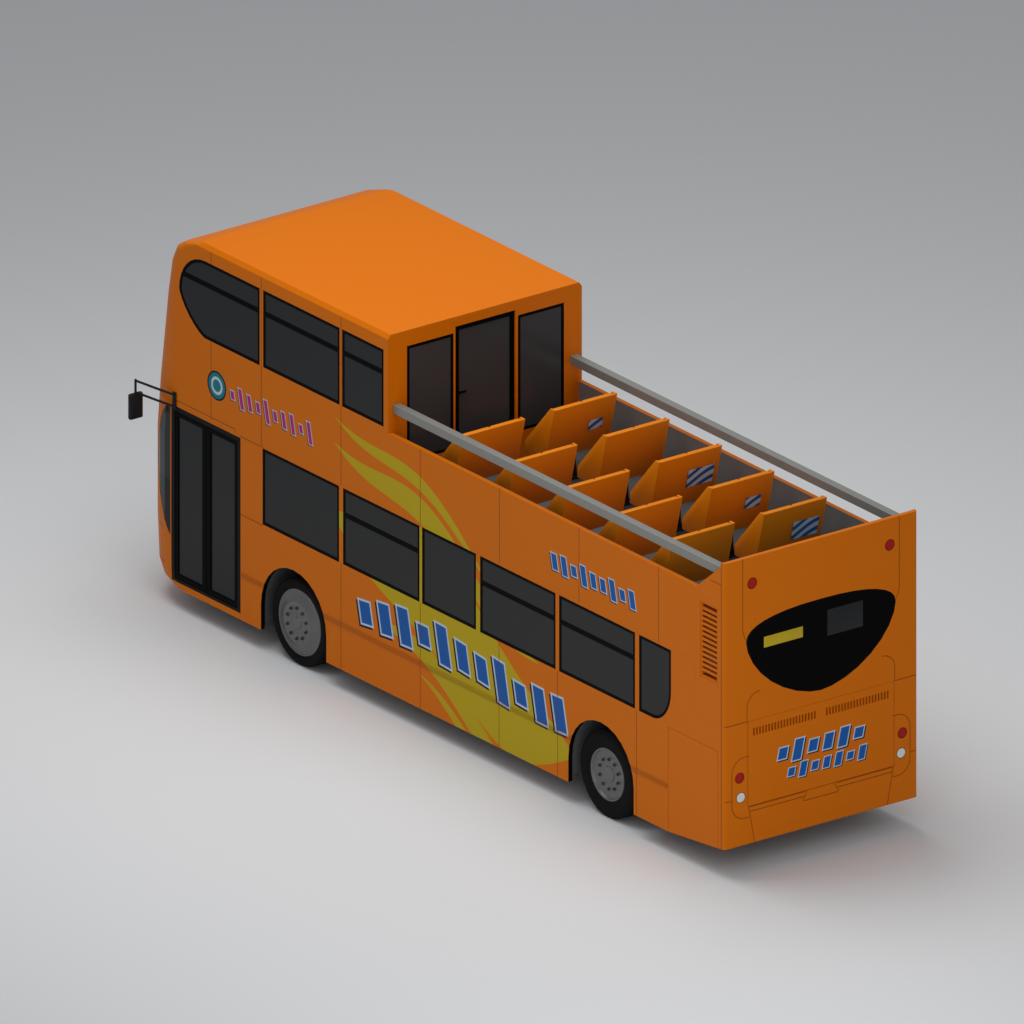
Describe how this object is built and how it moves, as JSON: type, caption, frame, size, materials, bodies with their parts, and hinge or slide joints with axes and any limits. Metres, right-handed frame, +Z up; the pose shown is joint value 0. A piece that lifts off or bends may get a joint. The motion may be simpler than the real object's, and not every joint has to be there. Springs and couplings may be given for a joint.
{
  "type": "open top double decker bus",
  "caption": "Orange open top double decker bus with a covered front, a hollow body on a ladder frame, opening doors and lids, steered front wheels and rolling wheels.",
  "frame": {"origin": "on the ground under the middle of the body", "axes": "+X forward along the bus, +Y to its left (entrance) side, +Z up"},
  "size_m": [10.3, 2.9466, 4.29],
  "materials": {
    "orange_paint": "gloss orange paint",
    "dark_glass": "tinted glazing in black frames",
    "black_trim": "black frames and trim",
    "tyre": "matt rubber",
    "silver_paint": "satin silver paint",
    "rail_grey": "satin grey paint",
    "frame_steel": "black chassis paint",
    "floor_grey": "grey floor covering",
    "seat_orange": "orange seats",
    "cab_black": "black grained plastic",
    "lamp_red": "red lenses",
    "lamp_clear": "clear lenses",
    "cast_iron": "bare castings"
  },
  "bodies": {
    "bus": {"air_grille": "black_trim", "bulkhead_panel": "orange_paint", "bulkhead_windows": "dark_glass", "chassis_frame": "frame_steel", "covered_seats_left": "seat_orange", "covered_seats_right": "seat_orange", "driver_place": "cab_black", "engine_block": "cast_iron", "entrance_frame": "black_trim", "front_axle": "frame_steel", "front_panel_lower": "orange_paint", "front_panel_upper": "orange_paint", "guard_rail_left": "rail_grey", "guard_rail_right": "rail_grey", "headlamp_left": "lamp_clear", "headlamp_right": "lamp_clear", "lower_floor": "floor_grey", "lower_seats_left": "seat_orange", "lower_seats_right": "seat_orange", "marker_lamps": "lamp_red", "mirror_left": "cab_black", "mirror_right": "cab_black", "open_deck_seats_left": "seat_orange", "open_deck_seats_right": "seat_orange", "rear_axle": "frame_steel", "rear_bench": "seat_orange", "rear_lamps_left": "lamp_red", "rear_lamps_right": "lamp_red", "rear_panel_lower": "orange_paint", "rear_panel_upper": "orange_paint", "rear_window": "dark_glass", "roof_panel": "orange_paint", "side_panel_lower_left": "orange_paint", "side_panel_lower_right": "orange_paint", "side_panel_upper_left": "orange_paint", "side_panel_upper_right": "orange_paint", "staircase": "floor_grey", "upper_floor": "floor_grey", "upper_screen": "dark_glass", "windows_lower_left": "dark_glass", "windows_lower_right": "dark_glass", "windows_upper_left": "dark_glass", "windows_upper_right": "dark_glass", "windscreen": "dark_glass"},
    "entrance_leaf_front": {"entrance_leaf_front": "dark_glass"},
    "entrance_leaf_rear": {"entrance_leaf_rear": "dark_glass"},
    "bulkhead_door": {"bulkhead_door": "dark_glass"},
    "engine_lid": {"engine_lid": "orange_paint"},
    "engine_side_panel": {"engine_side_panel": "orange_paint"},
    "steering_knuckle_left": {"steering_knuckle_left": "cast_iron"},
    "steering_knuckle_right": {"steering_knuckle_right": "cast_iron"},
    "front_wheel_left": {"front_tyre_left": "tyre", "front_wheel_left": "silver_paint"},
    "front_wheel_right": {"front_tyre_right": "tyre", "front_wheel_right": "silver_paint"},
    "rear_wheel_left": {"rear_tyres_left": "tyre", "rear_wheel_left": "silver_paint"},
    "rear_wheel_right": {"rear_tyres_right": "tyre", "rear_wheel_right": "silver_paint"}
  },
  "joints": [
    {"name": "entrance_leaf_front_hinge", "type": "hinge", "parent": "bus", "child": "entrance_leaf_front", "pos_m": [4.492, 1.233, 0.3513], "axis": [0, 0, 1], "range_deg": [0, 88]},
    {"name": "entrance_leaf_rear_hinge", "type": "hinge", "parent": "bus", "child": "entrance_leaf_rear", "pos_m": [3.3923, 1.233, 0.3513], "axis": [0, 0, -1], "range_deg": [0, 88]},
    {"name": "bulkhead_door_hinge", "type": "hinge", "parent": "bus", "child": "bulkhead_door", "pos_m": [0.795, -0.397, 2.596], "axis": [0, 0, -1], "range_deg": [0, 90]},
    {"name": "engine_lid_hinge", "type": "hinge", "parent": "bus", "child": "engine_lid", "pos_m": [-5.147, 0, 1.723], "axis": [0, 1, 0], "range_deg": [0, 80]},
    {"name": "engine_side_panel_hinge", "type": "hinge", "parent": "bus", "child": "engine_side_panel", "pos_m": [-4.6045, 1.272, 1.427], "axis": [1, 0, 0], "range_deg": [0, 80]},
    {"name": "steering_left", "type": "hinge", "parent": "bus", "child": "steering_knuckle_left", "pos_m": [2.404, 0.88, 0.487], "axis": [0, 0, 1], "range_deg": [-38, 38]},
    {"name": "steering_right", "type": "hinge", "parent": "bus", "child": "steering_knuckle_right", "pos_m": [2.404, -0.88, 0.487], "axis": [0, 0, 1], "range_deg": [-38, 38]},
    {"name": "front_wheel_left_spin", "type": "hinge", "parent": "steering_knuckle_left", "child": "front_wheel_left", "pos_m": [2.404, 1.208, 0.487], "axis": [0, 1, 0], "continuous": true},
    {"name": "front_wheel_right_spin", "type": "hinge", "parent": "steering_knuckle_right", "child": "front_wheel_right", "pos_m": [2.404, -1.208, 0.487], "axis": [0, 1, 0], "continuous": true},
    {"name": "rear_wheel_left_spin", "type": "hinge", "parent": "bus", "child": "rear_wheel_left", "pos_m": [-2.989, 1.208, 0.487], "axis": [0, 1, 0], "continuous": true},
    {"name": "rear_wheel_right_spin", "type": "hinge", "parent": "bus", "child": "rear_wheel_right", "pos_m": [-2.989, -1.208, 0.487], "axis": [0, 1, 0], "continuous": true}
  ],
  "couplings": [
    {"joint": "steering_right", "follows": "steering_left", "ratio": 1}
  ]
}
